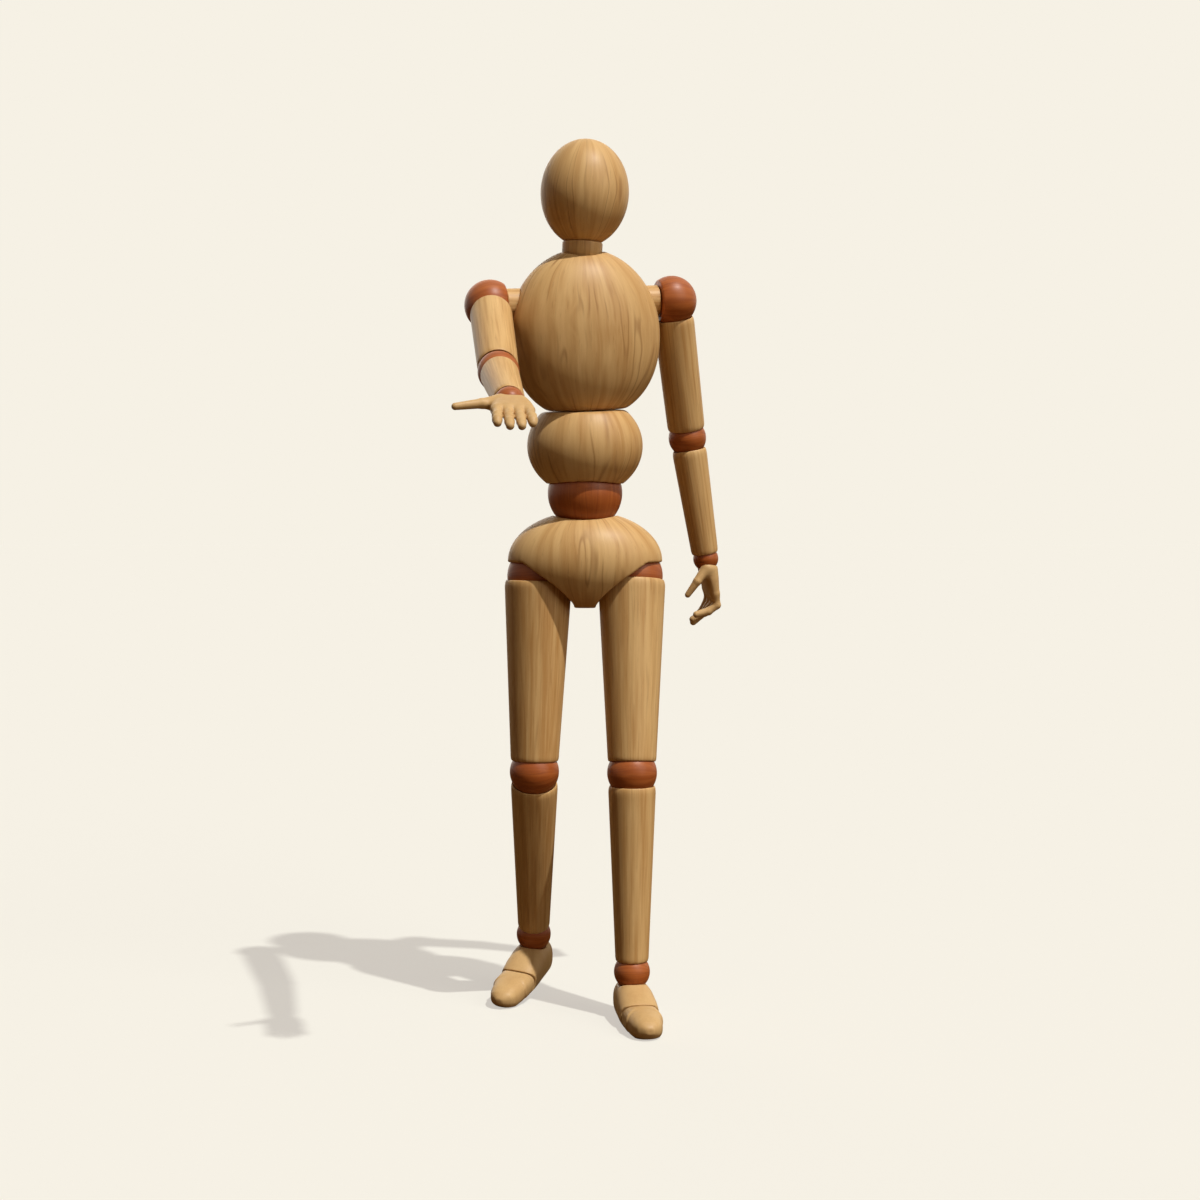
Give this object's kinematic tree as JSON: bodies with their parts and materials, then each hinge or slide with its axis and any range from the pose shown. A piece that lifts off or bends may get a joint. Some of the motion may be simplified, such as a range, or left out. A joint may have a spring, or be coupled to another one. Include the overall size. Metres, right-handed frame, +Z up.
{
  "type": "jointed artist mannequin",
  "caption": "Standing wooden drawing figure with turned limbs, ball joints that hold a pose, an egg-shaped head and carved hands.",
  "frame": {"origin": "centre of the bounding box at the soles", "axes": "+Z up; the figure faces -Y; its left side is +X"},
  "size_m": [0.0876, 0.154, 0.2949],
  "materials": {
    "light_wood": "satin",
    "stained_wood": "satin",
    "steel": "satin"
  },
  "bodies": {
    "pelvis": {"pelvis": "light_wood", "pelvis_spring": "steel", "pelvis_hook": "steel"},
    "left_hip_ball": {"left_hip_ball": "stained_wood", "left_hip_anchor": "steel"},
    "left_thigh": {"left_thigh": "light_wood", "left_thigh_spring": "steel"},
    "left_knee_ball": {"left_knee_ball": "stained_wood", "left_knee_pin": "steel"},
    "left_shin": {"left_shin": "light_wood", "left_shin_spring": "steel"},
    "left_ankle_ball": {"left_ankle_ball": "stained_wood", "left_ankle_anchor": "steel"},
    "left_foot": {"left_foot": "light_wood"},
    "left_toe": {"left_toe": "light_wood"},
    "right_hip_ball": {"right_hip_ball": "stained_wood", "right_hip_anchor": "steel"},
    "right_thigh": {"right_thigh": "light_wood", "right_thigh_spring": "steel"},
    "right_knee_ball": {"right_knee_ball": "stained_wood", "right_knee_pin": "steel"},
    "right_shin": {"right_shin": "light_wood", "right_shin_spring": "steel"},
    "right_ankle_ball": {"right_ankle_ball": "stained_wood", "right_ankle_anchor": "steel"},
    "right_foot": {"right_foot": "light_wood"},
    "right_toe": {"right_toe": "light_wood"},
    "waist_ball": {"waist_ball": "stained_wood", "waist_cross": "steel"},
    "abdomen": {"abdomen": "light_wood", "torso_spring": "steel"},
    "chest": {"chest": "light_wood", "chest_spring": "steel", "left_clavicle": "light_wood", "right_clavicle": "light_wood"},
    "left_shoulder_ball": {"left_shoulder_ball": "stained_wood", "left_shoulder_anchor": "steel"},
    "left_upper_arm": {"left_upper_arm": "light_wood", "left_upper_arm_spring": "steel"},
    "left_elbow_ball": {"left_elbow_ball": "stained_wood", "left_elbow_pin": "steel"},
    "left_forearm": {"left_forearm": "light_wood", "left_forearm_spring": "steel"},
    "left_wrist_ball": {"left_wrist_ball": "stained_wood", "left_wrist_anchor": "steel"},
    "left_hand": {"left_hand": "light_wood"},
    "right_shoulder_ball": {"right_shoulder_ball": "stained_wood", "right_shoulder_anchor": "steel"},
    "right_upper_arm": {"right_upper_arm": "light_wood", "right_upper_arm_spring": "steel"},
    "right_elbow_ball": {"right_elbow_ball": "stained_wood", "right_elbow_pin": "steel"},
    "right_forearm": {"right_forearm": "light_wood", "right_forearm_spring": "steel"},
    "right_wrist_ball": {"right_wrist_ball": "stained_wood", "right_wrist_anchor": "steel"},
    "right_hand": {"right_hand": "light_wood"},
    "neck": {"neck": "light_wood", "neck_rod": "steel"},
    "head": {"head": "light_wood"}
  },
  "joints": [
    {"name": "left_hip_swing", "type": "hinge", "parent": "pelvis", "child": "left_hip_ball", "pos_m": [0.01202, 0.04037, 0.14932], "axis": [-1, 0, 0], "range_deg": [-23, 14.5]},
    {"name": "left_hip_spread", "type": "hinge", "parent": "left_hip_ball", "child": "left_thigh", "pos_m": [0.01202, 0.04037, 0.14932], "axis": [0, -0.9898, 0.1426], "range_deg": [-2.5, 13]},
    {"name": "left_knee_upper", "type": "hinge", "parent": "left_thigh", "child": "left_knee_ball", "pos_m": [0.01202, 0.03082, 0.0831], "axis": [1, 0, 0], "range_deg": [-27, 19]},
    {"name": "left_knee_lower", "type": "hinge", "parent": "left_knee_ball", "child": "left_shin", "pos_m": [0.01202, 0.03082, 0.0831], "axis": [1, 0, 0], "range_deg": [-27, 19]},
    {"name": "left_ankle_tilt", "type": "hinge", "parent": "left_shin", "child": "left_ankle_ball", "pos_m": [0.01202, 0.03059, 0.0157], "axis": [1, 0, 0], "range_deg": [-24, 23.5]},
    {"name": "left_ankle_turn", "type": "hinge", "parent": "left_ankle_ball", "child": "left_foot", "pos_m": [0.01202, 0.03059, 0.0157], "axis": [0, 0, 1], "range_deg": [-22, 25]},
    {"name": "left_toe_bend", "type": "hinge", "parent": "left_foot", "child": "left_toe", "pos_m": [0.01515, 0.01286, 0.0043], "axis": [-0.9848, -0.1736, 0], "range_deg": [-5, 25]},
    {"name": "right_hip_swing", "type": "hinge", "parent": "pelvis", "child": "right_hip_ball", "pos_m": [-0.01978, 0.04037, 0.14932], "axis": [-1, 0, 0], "range_deg": [-16, 22]},
    {"name": "right_hip_spread", "type": "hinge", "parent": "right_hip_ball", "child": "right_thigh", "pos_m": [-0.01978, 0.04037, 0.14932], "axis": [0, 0.9998, -0.0175], "range_deg": [-3.5, 11.5]},
    {"name": "right_knee_upper", "type": "hinge", "parent": "right_thigh", "child": "right_knee_ball", "pos_m": [-0.02118, 0.0392, 0.08244], "axis": [0.9998, -0.0004, -0.0209], "range_deg": [-35, 10.5]},
    {"name": "right_knee_lower", "type": "hinge", "parent": "right_knee_ball", "child": "right_shin", "pos_m": [-0.02118, 0.0392, 0.08244], "axis": [0.9998, -0.0004, -0.0209], "range_deg": [-35, 10.5]},
    {"name": "right_ankle_tilt", "type": "hinge", "parent": "right_shin", "child": "right_ankle_ball", "pos_m": [-0.02246, 0.0664, 0.02079], "axis": [0.9998, -0.0004, -0.0209], "range_deg": [-12, 35.5]},
    {"name": "right_ankle_turn", "type": "hinge", "parent": "right_ankle_ball", "child": "right_foot", "pos_m": [-0.02246, 0.0664, 0.02079], "axis": [-0.0204, 0.2079, -0.9779], "range_deg": [-32, 15]},
    {"name": "right_toe_bend", "type": "hinge", "parent": "right_foot", "child": "right_toe", "pos_m": [-0.02893, 0.05223, 0.00625], "axis": [-0.9379, 0.3349, 0.0908], "range_deg": [-5, 25]},
    {"name": "waist_bend", "type": "hinge", "parent": "pelvis", "child": "waist_ball", "pos_m": [-0.00388, 0.04037, 0.17752], "axis": [1, 0, 0], "range_deg": [-24.5, 13]},
    {"name": "waist_side", "type": "hinge", "parent": "waist_ball", "child": "abdomen", "pos_m": [-0.00388, 0.04037, 0.17752], "axis": [0, 0.9947, 0.1028], "range_deg": [-15, 15]},
    {"name": "chest_turn", "type": "hinge", "parent": "abdomen", "child": "chest", "pos_m": [-0.00388, 0.03751, 0.20517], "axis": [-0.0297, -0.1027, 0.9943], "range_deg": [-60, 30]},
    {"name": "left_shoulder_swing", "type": "hinge", "parent": "chest", "child": "left_shoulder_ball", "pos_m": [0.02564, 0.04444, 0.24302], "axis": [-0.9655, -0.2545, -0.0551], "range_deg": [-51, 179]},
    {"name": "left_shoulder_spread", "type": "hinge", "parent": "left_shoulder_ball", "child": "left_upper_arm", "pos_m": [0.02564, 0.04444, 0.24302], "axis": [0.2602, -0.9337, -0.2461], "range_deg": [0, 21.5]},
    {"name": "left_elbow_upper", "type": "hinge", "parent": "left_upper_arm", "child": "left_elbow_ball", "pos_m": [0.03176, 0.05824, 0.19714], "axis": [-0.9572, -0.216, -0.1926], "range_deg": [-28.5, 21]},
    {"name": "left_elbow_lower", "type": "hinge", "parent": "left_elbow_ball", "child": "left_forearm", "pos_m": [0.03176, 0.05824, 0.19714], "axis": [-0.9572, -0.216, -0.1926], "range_deg": [-28.5, 21]},
    {"name": "left_wrist_bend", "type": "hinge", "parent": "left_forearm", "child": "left_wrist_ball", "pos_m": [0.03868, 0.06524, 0.15487], "axis": [-0.9572, -0.216, -0.1926], "range_deg": [-18, 30]},
    {"name": "left_wrist_turn", "type": "hinge", "parent": "left_wrist_ball", "child": "left_hand", "pos_m": [0.03868, 0.06524, 0.15487], "axis": [-0.1334, -0.2611, 0.956], "range_deg": [-90, 90]},
    {"name": "right_shoulder_swing", "type": "hinge", "parent": "chest", "child": "right_shoulder_ball", "pos_m": [-0.03538, 0.02836, 0.23954], "axis": [-0.9655, -0.2545, -0.0551], "range_deg": [-123, 106.5]},
    {"name": "right_shoulder_spread", "type": "hinge", "parent": "right_shoulder_ball", "child": "right_upper_arm", "pos_m": [-0.03538, 0.02836, 0.23954], "axis": [-0.0893, 0.5224, -0.848], "range_deg": [0, 21.5]},
    {"name": "right_elbow_upper", "type": "hinge", "parent": "right_upper_arm", "child": "right_elbow_ball", "pos_m": [-0.03034, -0.0123, 0.21396], "axis": [-0.9905, -0.1358, 0.0206], "range_deg": [-32.5, 17]},
    {"name": "right_elbow_lower", "type": "hinge", "parent": "right_elbow_ball", "child": "right_forearm", "pos_m": [-0.03034, -0.0123, 0.21396], "axis": [-0.9905, -0.1358, 0.0206], "range_deg": [-32.5, 17]},
    {"name": "right_wrist_bend", "type": "hinge", "parent": "right_forearm", "child": "right_wrist_ball", "pos_m": [-0.02493, -0.05359, 0.20172], "axis": [-0.9905, -0.1358, 0.0206], "range_deg": [-27, 21]},
    {"name": "right_wrist_turn", "type": "hinge", "parent": "right_wrist_ball", "child": "right_hand", "pos_m": [-0.02493, -0.05359, 0.20172], "axis": [-0.1274, 0.9645, 0.2315], "range_deg": [-90, 90]},
    {"name": "neck_tilt", "type": "hinge", "parent": "chest", "child": "neck", "pos_m": [-0.00474, 0.03221, 0.2583], "axis": [0.9652, 0.2596, -0.032], "range_deg": [-8.5, 12.5]},
    {"name": "head_turn", "type": "hinge", "parent": "neck", "child": "head", "pos_m": [-0.00474, 0.03221, 0.2583], "axis": [0.0456, -0.0467, 0.9979], "range_deg": [-90, 90]}
  ],
  "couplings": [
    {"joint": "left_knee_lower", "follows": "left_knee_upper", "ratio": 1},
    {"joint": "left_elbow_lower", "follows": "left_elbow_upper", "ratio": 1},
    {"joint": "right_knee_lower", "follows": "right_knee_upper", "ratio": 1},
    {"joint": "right_elbow_lower", "follows": "right_elbow_upper", "ratio": 1}
  ]
}
